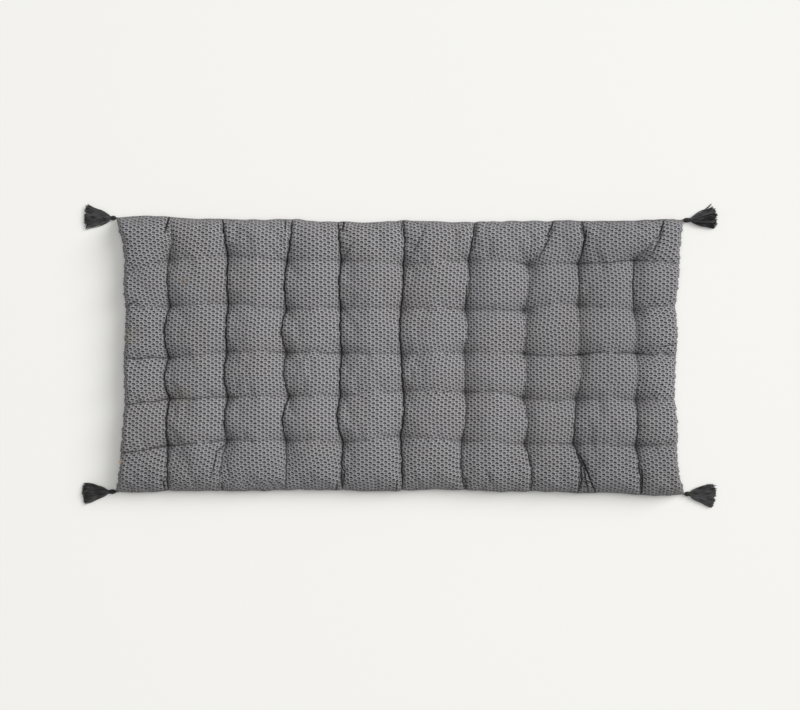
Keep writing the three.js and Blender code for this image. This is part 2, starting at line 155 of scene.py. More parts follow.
# Short sides and folds: x at the back edge, the five rows of tufts and the front edge, and the bow, the depth
# and the sharpness of the six spans between
COLUMN_LINES = [
    dict(x=[-599, -578, -574, -579, -577, -586, -599], bow=[6, -3, 0, -1, -1, 2],
         depth=[0] * 6, slit=[0] * 6),
    dict(x=[-481, -485, -482, -485, -484, -487, -486], bow=[6, -2, -9, -8, -3, 1],
         depth=[0.4, 0.7, 0.9, 0.9, 0.9, 0.7], slit=[0.1, 0.5, 0.8, 0.8, 0.8, 0.7]),
    dict(x=[-372, -361, -360, -363, -361, -363, -378], bow=[0, -1, -2, -6, -5, -3],
         depth=[0.9, 1, 1, 1, 1, 0.5], slit=[1, 0.9, 1, 0.8, 0.8, 0.1]),
    dict(x=[-226, -237, -238, -238, -232, -239, -240], bow=[3, -4, -10, -8, -10, 2],
         depth=[0.7, 0.9, 1, 0.9, 1, 0.5], slit=[0.9, 1, 0.7, 0.5, 0.8, 0.2]),
    dict(x=[-130, -123, -124, -122, -125, -119, -121], bow=[0, -4, -2, -2, -9, -2],
         depth=[0.9, 1, 1, 1, 1, 0.9], slit=[0.9, 1, 1, 0.9, 1, 0.8]),
    dict(x=[6, 7, 2, 3, 7, 1, 5], bow=[3, 2, -3, -1, 4, 1],
         depth=[0.9, 1, 1, 1, 1, 0.9], slit=[0.8, 1, 1, 1, 1, 1]),
    dict(x=[157, 144, 137, 135, 137, 130, 135], bow=[0, 4, 6, 0, 4, -5],
         depth=[0.5, 0.7, 0.8, 0.9, 0.8, 0.6], slit=[0.8, 0.3, 0.2, 0.2, 0.3, 0.5]),
    dict(x=[312, 268, 260, 261, 259, 261, 274], bow=[8, 4, 3, 4, 7, 6],
         depth=[0.4, 0.7, 0.7, 0.7, 0.8, 0.5], slit=[0, 0.05, 0.15, 0.1, 0.2, 0.5]),
    dict(x=[381, 374, 374, 377, 370, 364, 373], bow=[6, 0, 0, 4, -2, 9],
         depth=[0.4, 0.8, 0.6, 0.6, 0.8, 0.7], slit=[0.5, 0.4, 0.05, 0.1, 0.5, 0.6]),
    dict(x=[540, 491, 491, 495, 495, 495, 504], bow=[12, -5, 0, 0, 1, 0],
         depth=[0.3, 0.8, 0.7, 0.6, 0.8, 0.6], slit=[0, 0.5, 0.05, 0.05, 0.5, 0.5]),
    dict(x=[597, 586, 577, 579, 575, 581, 600], bow=[-2, 2, 4, 0, 4, -5],
         depth=[0] * 6, slit=[0] * 6),
]
# Long edges and creases: y at the left side, the nine folds and the right side, and the bow, the
# depth and the sharpness of the ten spans between
ROW_LINES = [
    dict(y=[292, 293, 289, 289, 283, 286, 282, 284, 285, 288, 287], bow=[3, -2, -2, -2, -3, -1, 1, 1, -2, 1],
         depth=[0] * 10, nick=[0] * 10),
    dict(y=[172, 201, 210, 200, 200, 191, 200, 191, 194, 202, 192], bow=[0, 0, 0, 0, 0, 0, 5, 2, -2, 0],
         depth=[0.5, 0.4, 0.4, 0.5, 0.4, 0.4, 0.9, 0.9, 1.2, 1],
         nick=[0.15, 0.1, 0.1, 0.15, 0.1, 0.1, 0.2, 0.2, 0.8, 0.3]),
    dict(y=[99, 105, 111, 99, 101, 101, 99, 97, 107, 97, 105], bow=[0, 0, 0, 0, 0, 0, -2, 6, 0, 4],
         depth=[0.5, 0.5, 0.4, 0.5, 0.4, 0.5, 1.1, 0.8, 0.5, 0.9],
         nick=[0.2, 0.3, 0.1, 0.1, 0.1, 0.1, 0.3, 0.1, 0.05, 0.2]),
    dict(y=[-4, -3, 10, 9, 7, 5, 9, 6, 4, 6, 2], bow=[0, 0, 0, 0, 0, 0, 0, -4, 3, 0],
         depth=[0.9, 0.5, 0.6, 0.7, 0.6, 0.5, 0.4, 0.9, 1.1, 1],
         nick=[0.9, 0.2, 0.45, 0.45, 0.45, 0.1, 0.1, 0.5, 0.8, 0.5]),
    dict(y=[-102, -89, -85, -83, -83, -71, -75, -87, -89, -91, -90], bow=[0, 0, 0, 0, 0, 0, 6, -4, 0, 0],
         depth=[1, 0.9, 0.6, 0.6, 0.5, 0.6, 0.8, 0.8, 1, 0.8],
         nick=[0.8, 0.7, 0.2, 0.2, 0.1, 0.2, 0.4, 0.2, 0.1, 0.1]),
    dict(y=[-203, -187, -175, -175, -180, -167, -177, -183, -183, -187, -185], bow=[0] * 10,
         depth=[1, 0.9, 0.7, 0.7, 0.6, 0.5, 0.5, 0.8, 1, 1],
         nick=[1, 0.7, 0.3, 0.2, 0.2, 0.2, 0.1, 0.2, 0.2, 0.3]),
    dict(y=[-285, -282, -282, -280, -281, -282, -280, -283, -287, -291, -290],
         bow=[-2, 0, -1, 1, -1, 2, -2, 1, 3, -2], depth=[0] * 10, nick=[0] * 10),
]
# Short pinched creases: x, y of both ends, depth, half width
PINCHES = [
    (-483, 293, -489, 262, 4, 3.5), (-470, 247, -483, 205, 1.2, 6), (-239, 287, -239, 264, 3, 3),
    (-117, 285, -120, 264, 4, 3), (23, 207, 57, 276, 1.4, 5), (162, 282, 155, 228, 2.2, 3.5),
    (323, 286, 309, 255, 4, 3.5), (319, 264, 292, 209, 2.4, 4), (275, 249, 271, 198, 1.2, 3.5),
    (388, 260, 380, 217, 3.5, 3.5), (381, 287, 380, 259, 3, 3), (554, 288, 538, 251, 4, 3.5),
    (546, 259, 523, 211, 2.2, 4), (-494, -259, -491, -282, 3, 3),
    (-364, -182, -382, -199, 2.6, 4), (-382, -199, -392, -245, 2.4, 4), (-361, -207, -351, -259, 1.6, 4),
    (-371, -268, -371, -282, 3, 2.5), (-130, -264, -134, -282, 2.5, 3), (-114, -236, -118, -264, 2.5, 3),
    (-6, -259, -9, -280, 2.5, 3), (136, -255, 139, -280, 3, 3), (183, -243, 189, -264, 1.5, 3.5),
    (271, -264, 273, -282, 2.5, 3), (376, -207, 410, -287, 4, 4), (380, -222, 393, -282, 3, 3.5),
    (374, -249, 372, -285, 2.5, 3), (505, -240, 506, -289, 3, 3.5), (139, 144, 138, 106, 3, 3),
    (-550, 114, -580, 100, 2, 4), (571, 26, 546, 22, 2, 4),
    (-118, 203, -97, 237, 1.4, 5), (-265, 225, -249, 206, 1.2, 5), (118, 218, 142, 201, 1.2, 5),
    (400, 285, 500, 287, 2.2, 2), (6, 284, 2, 262, 2.5, 3), (500, 287, 596, 287, 2.2, 2),
]
COLUMNS = len(COLUMN_LINES) - 1
ROWS = len(ROW_LINES) - 1
LINE_X = np.array([c["x"] for c in COLUMN_LINES], float)
LINE_BOW = np.array([c["bow"] for c in COLUMN_LINES], float)
FOLD_SHARE = np.array([c["depth"] for c in COLUMN_LINES], float)
SLIT_SHARE = np.array([c["slit"] for c in COLUMN_LINES], float)
LINE_Y = np.array([r["y"] for r in ROW_LINES], float)
ROW_BOW = np.array([r["bow"] for r in ROW_LINES], float)
CREASE_SHARE = np.array([r["depth"] for r in ROW_LINES], float)
NICK_SHARE = np.array([r["nick"] for r in ROW_LINES], float)


# Profiles
def bulge(t):
    return np.sin(np.pi * t)


def quarter_round(t):
    return np.sqrt(1 - (1 - np.minimum(t, 1)) ** 2)


def valley(t):
    return 1 - quarter_round(t)


def soft_of(distance):
    """The valley on each side of a fold."""
    return np.exp(-(distance / VALLEY_REACH) ** VALLEY_POWER)


def dip_of(share, distance, sharp):
    """The dip beside a line: a cusp where the cloth is creased sharply, a round hollow elsewhere."""
    return sharp * valley(2 * share) + (1 - sharp) * np.exp(-(distance / HOLLOW_REACH) ** HOLLOW_POWER)


def slot_of(distance, line, place):
    """The narrow slit where the cloth of two pockets meets, wider in some places than in others."""
    changes = [SLIT_UNEVEN * np.sin(place * rate + line * step) for rate, step in SLIT_WAVES]
    return np.exp(-(distance / (SLIT_WIDTH * sum(changes, 1))) ** SLIT_POWER)


def ripples(along, rows):
    return sum(size * np.sin(along / length + sway * np.sin(along / sway_length))
               for size, length, sway, sway_length in rows)


def waves(x, y, lengths, count, size):
    """A smooth seeded unevenness: a few sine waves of mixed directions."""
    total = np.zeros_like(x)
    for _ in range(count):
        angle, phase = RNG.uniform(0, np.pi), RNG.uniform(0, 2 * np.pi)
        k = 2 * np.pi / RNG.uniform(*lengths)
        total += np.sin(k * (x * np.cos(angle) + y * np.sin(angle)) + phase)
    return total * size / np.sqrt(count)


# Plan
def graded(count, steps):
    """Places along count spans, fine beside the line at each end of a span and even in its middle."""
    k = np.arange(steps)
    size = np.minimum(1, FIRST_STEP * STEP_GROWTH ** np.minimum(k, k[::-1]))
    ends = np.cumsum(size) / size.sum()
    return np.concatenate([[0], (np.arange(count)[:, None] + ends).ravel()])


def span_of(place, count):
    index = np.minimum(np.floor(place).astype(int), count - 1)
    return index, place - index


def along_spans(values, line, place):
    """values[line] is listed span by span, and eased from middle to middle of the spans."""
    middle = np.clip(place - 0.5, 0, values.shape[1] - 1)
    index, share = span_of(middle, values.shape[1] - 1)
    return values[line, index] * (1 - share) + values[line, index + 1] * share


def line_point(i, q):
    """A point of fold i, at q spans from the back edge."""
    j, v = span_of(q, ROWS)
    x = LINE_X[i, j] * (1 - v) + LINE_X[i, j + 1] * v + LINE_BOW[i, j] * bulge(v)
    waver = sum(np.sin(q * rate + i * step) for rate, step in FOLD_WAVES)
    x = x + FOLD_WAVER * waver * bulge(v) ** 0.5
    y = LINE_Y[j, i] * (1 - v) + LINE_Y[j + 1, i] * v
    return np.stack([x, y], -1)


def plan_point(p, q):
    """A point of the plan, at p spans from the left side and q spans from the back edge."""
    i, u = span_of(p, COLUMNS)
    j, v = span_of(q, ROWS)
    point = line_point(i, q) * (1 - u[..., None]) + line_point(i + 1, q) * u[..., None]
    bow = ROW_BOW[j, i] * (1 - v) + ROW_BOW[j + 1, i] * v
    waver = CREASE_WAVER * np.sin(CREASE_WAVES[0] * p + CREASE_WAVES[1] * q) * bulge(q / ROWS)
    point[..., 1] += (bow + waver) * bulge(u)
    return point


P, Q = np.meshgrid(graded(COLUMNS, STEPS_ACROSS), graded(ROWS, STEPS_ALONG), indexing="ij")
PLAN = plan_point(P, Q)
# The long edges are drawn in where the folds end
for i in range(1, COLUMNS):
    for q, inward in ((0.0, -1), (float(ROWS), 1)):
        off = PLAN - line_point(np.array(i), np.array(q))
        share = SLIT_SHARE[i, 0 if inward < 0 else -1]
        fade = np.exp(-(off[..., 0] / NOTCH_REACH) ** 2 - np.abs(off[..., 1]) / NOTCH_LENGTH)
        PLAN[..., 1] += inward * NOTCH * share * fade
CORNERS = [PLAN[0, 0], PLAN[-1, 0], PLAN[-1, -1], PLAN[0, -1]]
# The long edges are a little ragged between the corners
for q in (0, -1):
    edge = PLAN[:, [q]]
    ragged = ripples(edge[..., 0], EDGE_RIPPLES)
    fade = np.exp(-np.abs(PLAN[..., 1] - edge[..., 1]) / EDGE_UNEVEN_REACH)
    PLAN[..., 1] += EDGE_UNEVEN * ragged * bulge(P / COLUMNS) ** 0.5 * fade
TUFTS = [plan_point(np.array(i * 1.0), np.array(j * 1.0)) for i in range(1, COLUMNS) for j in range(1, ROWS)]


def nearest(points):
    return np.min([np.linalg.norm(PLAN - point, axis=-1) for point in points], axis=0)


def nearer(first, second):
    """How far each point lies from the nearer of two lines of the grid."""
    return np.minimum(np.linalg.norm(PLAN - first, axis=-1), np.linalg.norm(PLAN - second, axis=-1))


def edge_distances():
    """How far each point lies from the nearer short side and from the nearer long edge, along the grid."""
    return nearer(PLAN[:1], PLAN[-1:]), nearer(PLAN[:, :1], PLAN[:, -1:])


# Nips: how far each point lies to one side of the nearest line, mm, and how dark that line is
def nip_lines(pinches):
    """The short pinched creases."""
    best = np.full(P.shape, NIP_REACH)
    off = np.full(P.shape, NIP_REACH)
    dark = np.zeros(P.shape)
    for x0, y0, x1, y1, depth, _ in pinches:
        a, d = np.array([x0, y0]), np.array([x1 - x0, y1 - y0])
        length = np.hypot(*d)
        rel = PLAN - a
        t = rel @ d / length**2
        side = (rel[..., 0] * d[1] - rel[..., 1] * d[0]) / length
        away = np.abs(side) + np.maximum(0, np.abs(t - 0.5) - 0.5) * length
        near = away < best
        best[near], off[near] = away[near], side[near]
        faded = np.clip(NIP_MIDDLE - NIP_FALL * np.abs(t[near] - 0.5), 0, 1)
        dark[near] = NIP_GAIN * depth * faded ** NIP_POWER
    return off, dark


def crease_lines():
    """The creases along the rows: dark beside the tufts, faint between them."""
    line = np.round(Q).astype(int)
    off = PLAN[..., 1] - plan_point(P, line * 1.0)[..., 1]
    nick = along_spans(NICK_SHARE, line, P)
    at_tuft = np.exp(-nearest(TUFTS) / CREASE_NIP_REACH)
    return off, CREASE_NIP * nick * (CREASE_NIP_BASE + CREASE_NIP_SHARP * nick + at_tuft)


def fold_lines():
    """The long folds."""
    line = np.round(P).astype(int)
    off = np.linalg.norm(PLAN - line_point(line, Q), axis=-1)
    return off, FOLD_NIP * along_spans(SLIT_SHARE, line, Q)


# Upper and lower panel
def groove(drop, x0, y0, x1, y1, depth, width):
    """Adds a short soft crease from one point to another to drop."""
    a, d = np.array([x0, y0]), np.array([x1 - x0, y1 - y0])
    length = np.hypot(*d)
    near = np.abs(PLAN - (a + d / 2)).max(-1) < length / 2 + GROOVE_REACH * width
    rel = PLAN[near] - a
    t = np.clip(rel @ d / length**2, 0, 1)
    off = np.linalg.norm(rel - t[:, None] * d, axis=-1)
    fade = np.sqrt(np.clip(np.minimum(t, 1 - t) * GROOVE_EASE + GROOVE_START, 0, 1))
    drop[near] += PINCH_FULL * depth * fade * np.exp(-np.abs(off / width) ** GROOVE_POWER)


def fold_drop():
    """What the folds take from the crown."""
    i, u = span_of(P, COLUMNS)
    wide = np.linalg.norm(line_point(i + 1, Q) - line_point(i, Q), axis=-1)
    arch, soft, slit = 0, 0, 0
    for line, share in ((i, u), (i + 1, 1 - u)):
        depth, sharp = along_spans(FOLD_SHARE, line, Q), along_spans(SLIT_SHARE, line, Q)
        away = share * wide
        arch = np.maximum(arch, depth * dip_of(share, away, sharp))
        soft = np.maximum(soft, depth * (1 - VALLEY_SHARP * sharp) * soft_of(away))
        slit = np.maximum(slit, sharp * slot_of(away, line, Q))
    return FOLD_ARCH * arch + VALLEY_DEPTH * soft * (1 - VALLEY_EASE * bulge(Q % 1)) + SLIT_DEPTH * slit


def crease_drop(to_tuft):
    """What the creases along the rows take from the crown."""
    j, v = span_of(Q, ROWS)
    tall = np.abs(plan_point(P, j + 1.0)[..., 1] - plan_point(P, j * 1.0)[..., 1])
    crease, nick = 0, 0
    for line, share in ((j, v), (j + 1, 1 - v)):
        depth, sharp = along_spans(CREASE_SHARE, line, P), along_spans(NICK_SHARE, line, P)
        away = share * tall
        crease = np.maximum(crease, depth * dip_of(share, away, sharp))
        nick = np.maximum(nick, sharp * slot_of(away, line, P))
    crease = CREASE_DEPTH * crease * (1 - CREASE_EASE * bulge(P % 1))
    return crease + NICK_DEPTH * nick * (NICK_BASE + np.exp(-to_tuft / NICK_REACH))


def top_surface():
    """The upper panel, the height of the seam beside each point, and how far the point is from the edge."""
    x, y = PLAN[..., 0], PLAN[..., 1]
    to_tuft = nearest(TUFTS)
    drop = fold_drop()
    drop += crease_drop(to_tuft)
    drop += TUFT_DEPTH * np.exp(-to_tuft / TUFT_REACH) + TUFT_CORE * np.exp(-to_tuft / TUFT_CORE_REACH)
    across = np.sin(x / SWELL["length_x"] + SWELL["start"])
    along = np.cos(y / SWELL["length_y"] + x / SWELL["slant"])
    drop -= CROWN_UNEVEN * across * along
    drop += waves(x, y, **SLUMPS) + waves(x, y, **WRINKLES)
    for tuft in TUFTS:
        for k in range(PUCKERS):
            angle = k * 2 * np.pi / PUCKERS + RNG.uniform(-PUCKER_TURN, PUCKER_TURN)
            out = np.array([np.cos(angle), np.sin(angle)])
            start, end = tuft + out * RNG.uniform(*PUCKER_START), tuft + out * RNG.uniform(*PUCKER_END)
            groove(drop, *start, *end, RNG.uniform(*PUCKER_DEPTH), RNG.uniform(*PUCKER_WIDTH))
    for pinch in PINCHES:
        groove(drop, *pinch)
    to_side, to_long = edge_distances()
    to_edge = np.minimum(to_side, to_long)
    along = np.where(to_long < to_side, x, y)
    drop += SEAM_PUCKER * ripples(along, SEAM_RIPPLES) * np.exp(-(to_edge / SEAM_PUCKER_REACH) ** 2)
    roll = quarter_round(to_side / SIDE_ROLL) * quarter_round(to_long / EDGE_ROLL)
    at_corner = np.exp(-nearest(CORNERS) / CORNER_REACH)
    seam = SEAM_HEIGHT + (CORNER_SEAM_HEIGHT - SEAM_HEIGHT) * at_corner
    full = np.maximum(CROWN - drop, UNDER_TUFT_RISE + TUFTED_THICKNESS)
    return np.dstack([x, y, seam * (1 - roll) + full * roll]), seam, to_edge


def under_surface(seam):
    """The lower panel, on the same grid: drawn under from the seam, flat but for its folds and tufts."""
    x, y = PLAN[..., 0], PLAN[..., 1]
    to_side, to_long = edge_distances()
    flat = quarter_round(to_side / UNDER_ROLL) * quarter_round(to_long / UNDER_ROLL)
    inside = np.clip(np.minimum(to_side, to_long) / UNDER_EASE - UNDER_START, 0, 1)
    near_fold = np.abs(P - np.round(P)) / UNDER_FOLD_REACH
    near_crease = np.abs(Q - np.round(Q)) / UNDER_CREASE_REACH
    near_tuft = nearest(TUFTS) / UNDER_TUFT_REACH
    rise = np.maximum(UNDER_FOLD_RISE * np.clip(1 - near_fold, 0, 1),
                      UNDER_CREASE_RISE * np.clip(1 - near_crease, 0, 1))
    rise = np.maximum(rise, UNDER_TUFT_RISE * np.clip(1 - near_tuft, 0, 1))
    return np.dstack([x, y, seam * (1 - flat) + rise * inside])


def flat_coordinates(surface):
    """Where each point lies on the flat cloth, mm: its place on the plan, plus what the folds take up."""
    step = np.diff(surface, axis=0)
    extra = np.zeros(P.shape)
    extra[1:] = np.cumsum(np.linalg.norm(step, axis=-1) - np.abs(step[..., 0]), axis=0)
    u = surface[..., 0] + even_out(extra, STEPS_ACROSS)
    step = np.diff(surface, axis=1)
    extra = np.zeros(P.shape)
    extra[:, 1:] = np.cumsum(np.linalg.norm(step, axis=-1) - np.abs(step[..., 1]), axis=1)
    v = surface[..., 1] - even_out(extra.T, STEPS_ALONG).T
    return u, v


def even_out(extra, steps):
    """The cloth taken up has the same total at a fold all along it."""
    result = np.zeros_like(extra)
    total = 0.0
    for start in range(0, extra.shape[0] - 1, steps):
        part = extra[start:start + steps + 1] - extra[start]
        width = part[-1].mean()
        result[start:start + steps + 1] = total + part / np.maximum(part[-1:], TINY) * width
        total += width
    return result


# Meshes
def new_object(name, verts, faces, material, smooth=True):
    mesh = bpy.data.meshes.new(name)
    mesh.from_pydata(verts.tolist(), [], faces)
    mesh.polygons.foreach_set("use_smooth", [smooth] * len(mesh.polygons))
    mesh.materials.append(material)
    obj = bpy.data.objects.new(name, mesh)
    bpy.context.scene.collection.objects.link(obj)
    return obj


def add_values(obj, name, values):
    """A named number at each vertex, for the materials."""
    layer = obj.data.attributes.new(name, "FLOAT", "POINT")
    layer.data.foreach_set("value", np.asarray(values, np.float32))


def quads_of(ids):
    return np.stack([ids[:-1, :-1], ids[:-1, 1:], ids[1:, 1:], ids[1:, :-1]], -1).reshape(-1, 4).tolist()


def tube(path, radius, sides):
    """Vertices and faces of a thin tube along a path; radius may vary along it."""
    path = np.asarray(path, float)
    tangent = np.gradient(path, axis=0)
    tangent /= np.linalg.norm(tangent, axis=1, keepdims=True) + TINY
    upright = np.abs(tangent[:, 2:3]) > TUBE_UPRIGHT
    side = np.cross(tangent, np.where(upright, np.array([[1.0, 0, 0]]), np.array([[0, 0, 1.0]])))
    side /= np.linalg.norm(side, axis=1, keepdims=True)
    up = np.cross(side, tangent)
    angle = (np.arange(sides) * 2 * np.pi / sides + TUBE_TURN)[None, :, None]
    radius = np.broadcast_to(radius, len(path))
    out = np.cos(angle) * side[:, None] + np.sin(angle) * up[:, None]
    rings = path[:, None] + radius[:, None, None] * out
    ids = np.arange(len(path) * sides).reshape(len(path), sides)
    after = np.roll(ids, -1, axis=1)
    faces = np.stack([ids[:-1], ids[1:], after[1:], after[:-1]], -1).reshape(-1, 4).tolist()
    faces += [ids[0].tolist(), ids[-1][::-1].tolist()]
    return rings.reshape(-1, 3), faces


# Materials
class Nodes:
    """Short hands for a material's nodes."""

    def __init__(self, name, sockets):
        self.material = bpy.data.materials.new(name)
        self.material.use_nodes = True
        self.tree = self.material.node_tree
        self.shader = self.tree.nodes["Principled BSDF"]
        for socket, value in sockets.items():
            self.shader.inputs[socket].default_value = value

    def put(self, socket, value):
        if isinstance(value, bpy.types.NodeSocket):
            self.tree.links.new(value, socket)
        else:
            socket.default_value = value

    def node(self, kind, **sockets):
        node = self.tree.nodes.new(kind)
        for name, value in sockets.items():
            self.put(node.inputs[name], value)
        return node

    def attribute(self, name):
        node = self.tree.nodes.new("ShaderNodeAttribute")
        node.attribute_name = name
        return node.outputs["Fac"]

    def noise(self, place, scale, detail):
        return self.node("ShaderNodeTexNoise", Vector=place, Scale=scale, Detail=detail).outputs["Fac"]

    def math(self, operation, *values):
        node = self.tree.nodes.new("ShaderNodeMath")
        node.operation = operation
        for socket, value in zip(node.inputs, values):
            self.put(socket, value)
        return node.outputs[0]

    def smooth(self, value, low, high):
        """0 at low, 1 at high, smoothly between."""
        node = self.tree.nodes.new("ShaderNodeMapRange")
        node.interpolation_type = "SMOOTHSTEP"
        self.put(node.inputs["Value"], value)
        self.put(node.inputs["From Min"], low)
        self.put(node.inputs["From Max"], high)
        return node.outputs["Result"]

    def clamp(self, value):
        node = self.tree.nodes.new("ShaderNodeClamp")
        self.put(node.inputs[0], value)
        return node.outputs[0]

    def mix(self, factor, a, b):
        node = self.tree.nodes.new("ShaderNodeMix")
        node.data_type = "RGBA"
        self.put(node.inputs["Factor"], factor)
        self.put(node.inputs[6], a)
        self.put(node.inputs[7], b)
        return node.outputs[2]

    def bump(self, height, strength, distance):
        node = self.node("ShaderNodeBump", Height=height, Strength=strength, Distance=distance)
        self.put(self.shader.inputs["Normal"], node.outputs[0])


# Colours, linear
GROUND = (0.350, 0.347, 0.366, 1)
GROUND_WARM = (0.360, 0.351, 0.353, 1)
PRINT = (0.022, 0.022, 0.023, 1)
SHADE = (0.012, 0.012, 0.012, 1)
BROWN = (0.16, 0.115, 0.07, 1)
STRAW = (0.7, 0.47, 0.25, 1)
OLIVE = (0.28, 0.23, 0.12, 1)
TAN = (0.33, 0.17, 0.075, 1)
TASSEL_DARK = (0.003, 0.003, 0.0032, 1)
TASSEL_LIGHT = (0.09, 0.09, 0.0915, 1)
THREAD_DARK = (0.10, 0.10, 0.103, 1)
THREAD_LIGHT = (0.24, 0.238, 0.245, 1)
FLOOR_COLOUR = (0.86, 0.855, 0.825, 1)

# Print: one repeat on the flat cloth; motifs in mm from its middle, edges as the shares of the radius where
# the ink starts and is full
REPEAT_X = 16.2
REPEAT_Y = 10.45
ARCH = dict(x=0.1, y=-1.1, rx=3.9, ry=3.5, edge=(1.06, 0.94))
ARCH_BASE = (-2.1, -1.5)
ARCH_SLOPE = 0.22
ARC = dict(x=-0.3, y=-2.5, rx=1.9, ry=1.4, edge=(1.15, 0.75))
ARC_LIGHT = 0.55
SPOT = dict(x=0, y=0, rx=2.6, ry=1.7, edge=(1.15, 0.7))
SPOT_INK = 0.74
SPOT_PLACE = (0, 0.42)  # in repeats from the arch
TAIL = dict(x=0, y=0, rx=2.0, ry=0.95, edge=(1.25, 0.75))
TAIL_INK = 0.6
TAIL_SLANT = (0.8, 0.6)  # cosine and sine
TAIL_PLACE = (-0.15, 0.19)
HALF_DROP = (0.0, 0.5)
DRIFT = dict(lengths=(120, 320), count=8, size=0.9)  # how the print strays from an even grid

# Cloth and yarn
COVER_SHADER = {"Roughness": 0.92, "Specular IOR Level": 0.2, "Sheen Weight": 0.08, "Sheen Roughness": 0.5}
YARN_SHADER = {"Roughness": 0.85, "Specular IOR Level": 0.15, "Sheen Weight": 0.04}
FLOOR_SHADER = {"Base Color": FLOOR_COLOUR, "Roughness": 1.0, "Specular IOR Level": 0.0}
WEAVE_PITCH = 0.8
WEAVE_INK = 0.05  # how much the weave shows in the ink
SLUB = dict(scale=900.0, detail=2.0)
SLUB_INK = 0.42
SLOW = dict(scale=9.0, detail=3.0)
SLOW_INK = 0.12
UNEVEN_INK = 0.6  # how much less uneven full ink is than bare cloth
WARM = (0.25, 0.75)  # noise levels between which the ground turns warm
BROKEN = dict(scale=260.0, detail=2.0)
SLUB_HEIGHT = 1.5
COVER_BUMP = dict(strength=0.35, distance=0.0002)
FUZZ = dict(scale=1400.0, detail=3.0)
FUZZ_TONE = 0.15
YARN_TONE = 0.85
YARN_BUMP = dict(strength=0.5, distance=0.0003)

# Stains: x, y, z, radius, strength, colour
STAINS = [
    (-447, 155, 66, 16, 0.28, BROWN), (-583, -221, 51, 8, 1, STRAW), (-581, -163, 43, 6, 0.6, OLIVE),
    (-580, -173, 42, 5, 0.5, OLIVE), (-583, -188, 42, 5, 0.6, OLIVE), (-582, -208, 43, 6, 0.6, OLIVE),
    (-560, 40, 64, 32, 0.1, OLIVE), (-573, 9, 53, 12, 0.15, BROWN), (-455, -80, 52, 32, 0.1, OLIVE),
    (-541, -281, 41, 7, 0.35, OLIVE), (-497, -281, 38, 7, 0.3, OLIVE),
]
STAIN_FLAT = (1, 1, 0.45)  # a stain spreads further up and down
STAIN_CORE = 0.2  # share of the radius that is fully stained
# Bands a little darker, along the front edge, along both short sides and down the right part: axis, middle,
# half width, strength
DARKER_BANDS = [("y", -290, 80, 0.15), ("x", 400, 75, 0.11), ("x", -600, 180, 0.11), ("x", 600, 60, 0.04)]
DARKER_BAND_EDGE = (2, 0.4)  # half widths at which a band starts and is full


def print_ink(n, u, v):
    """The ink of the print on the flat cloth."""

    def ellipse(x, y, shape):
        across = n.math("POWER", n.math("DIVIDE", n.math("SUBTRACT", x, shape["x"]), shape["rx"]), 2.0)
        along = n.math("POWER", n.math("DIVIDE", n.math("SUBTRACT", y, shape["y"]), shape["ry"]), 2.0)
        return n.smooth(n.math("SQRT", n.math("ADD", across, along)), *shape["edge"])

    def arch(x, y):
        """A dark arch with a light inner arc, its right end drawn out a little."""
        base = n.smooth(n.math("ADD", y, n.math("MULTIPLY", x, ARCH_SLOPE)), *ARCH_BASE)
        kept = n.math("SUBTRACT", 1.0, n.math("MULTIPLY", ellipse(x, y, ARC), ARC_LIGHT))
        return n.math("MULTIPLY", n.math("MULTIPLY", ellipse(x, y, ARCH), base), kept)

    def spot(x, y):
        return n.math("MULTIPLY", ellipse(x, y, SPOT), SPOT_INK)

    def tail(x, y):
        cosine, sine = TAIL_SLANT
        slant_x = n.math("ADD", n.math("MULTIPLY", x, cosine), n.math("MULTIPLY", y, -sine))
        slant_y = n.math("ADD", n.math("MULTIPLY", x, sine), n.math("MULTIPLY", y, cosine))
        return n.math("MULTIPLY", ellipse(slant_x, slant_y, TAIL), TAIL_INK)

    def repeated(place, shift, size):
        return n.math("MULTIPLY", n.math("SUBTRACT", n.math("FRACT", n.math("ADD", place, shift)), 0.5), size)

    ink = 0.0
    for half in HALF_DROP:
        for (du, dv), motif in (((0, 0), arch), (SPOT_PLACE, spot), (TAIL_PLACE, tail)):
            x, y = repeated(u, half + du, REPEAT_X), repeated(v, half + dv, REPEAT_Y)
            ink = n.math("MAXIMUM", ink, motif(x, y))
    return ink


def nip_shade(n, place):
    """The shade in the nips, broken up a little along each line."""
    broken = n.smooth(n.noise(place, **BROKEN), *NIP_BROKEN)
    nip = 0.0
    for k, width in enumerate(NIP_WIDTHS):
        off, depth = n.attribute(f"nip_off_{k}"), n.attribute(f"nip_depth_{k}")
        line = n.smooth(n.math("ABSOLUTE", off), NIP_EDGE[0] * width, NIP_EDGE[1] * width)
        shade = n.math("MULTIPLY", line, n.math("DIVIDE", depth, NIP_FULL))
        nip = n.math("MAXIMUM", nip, n.math("MULTIPLY", shade, broken))
    return n.clamp(nip)


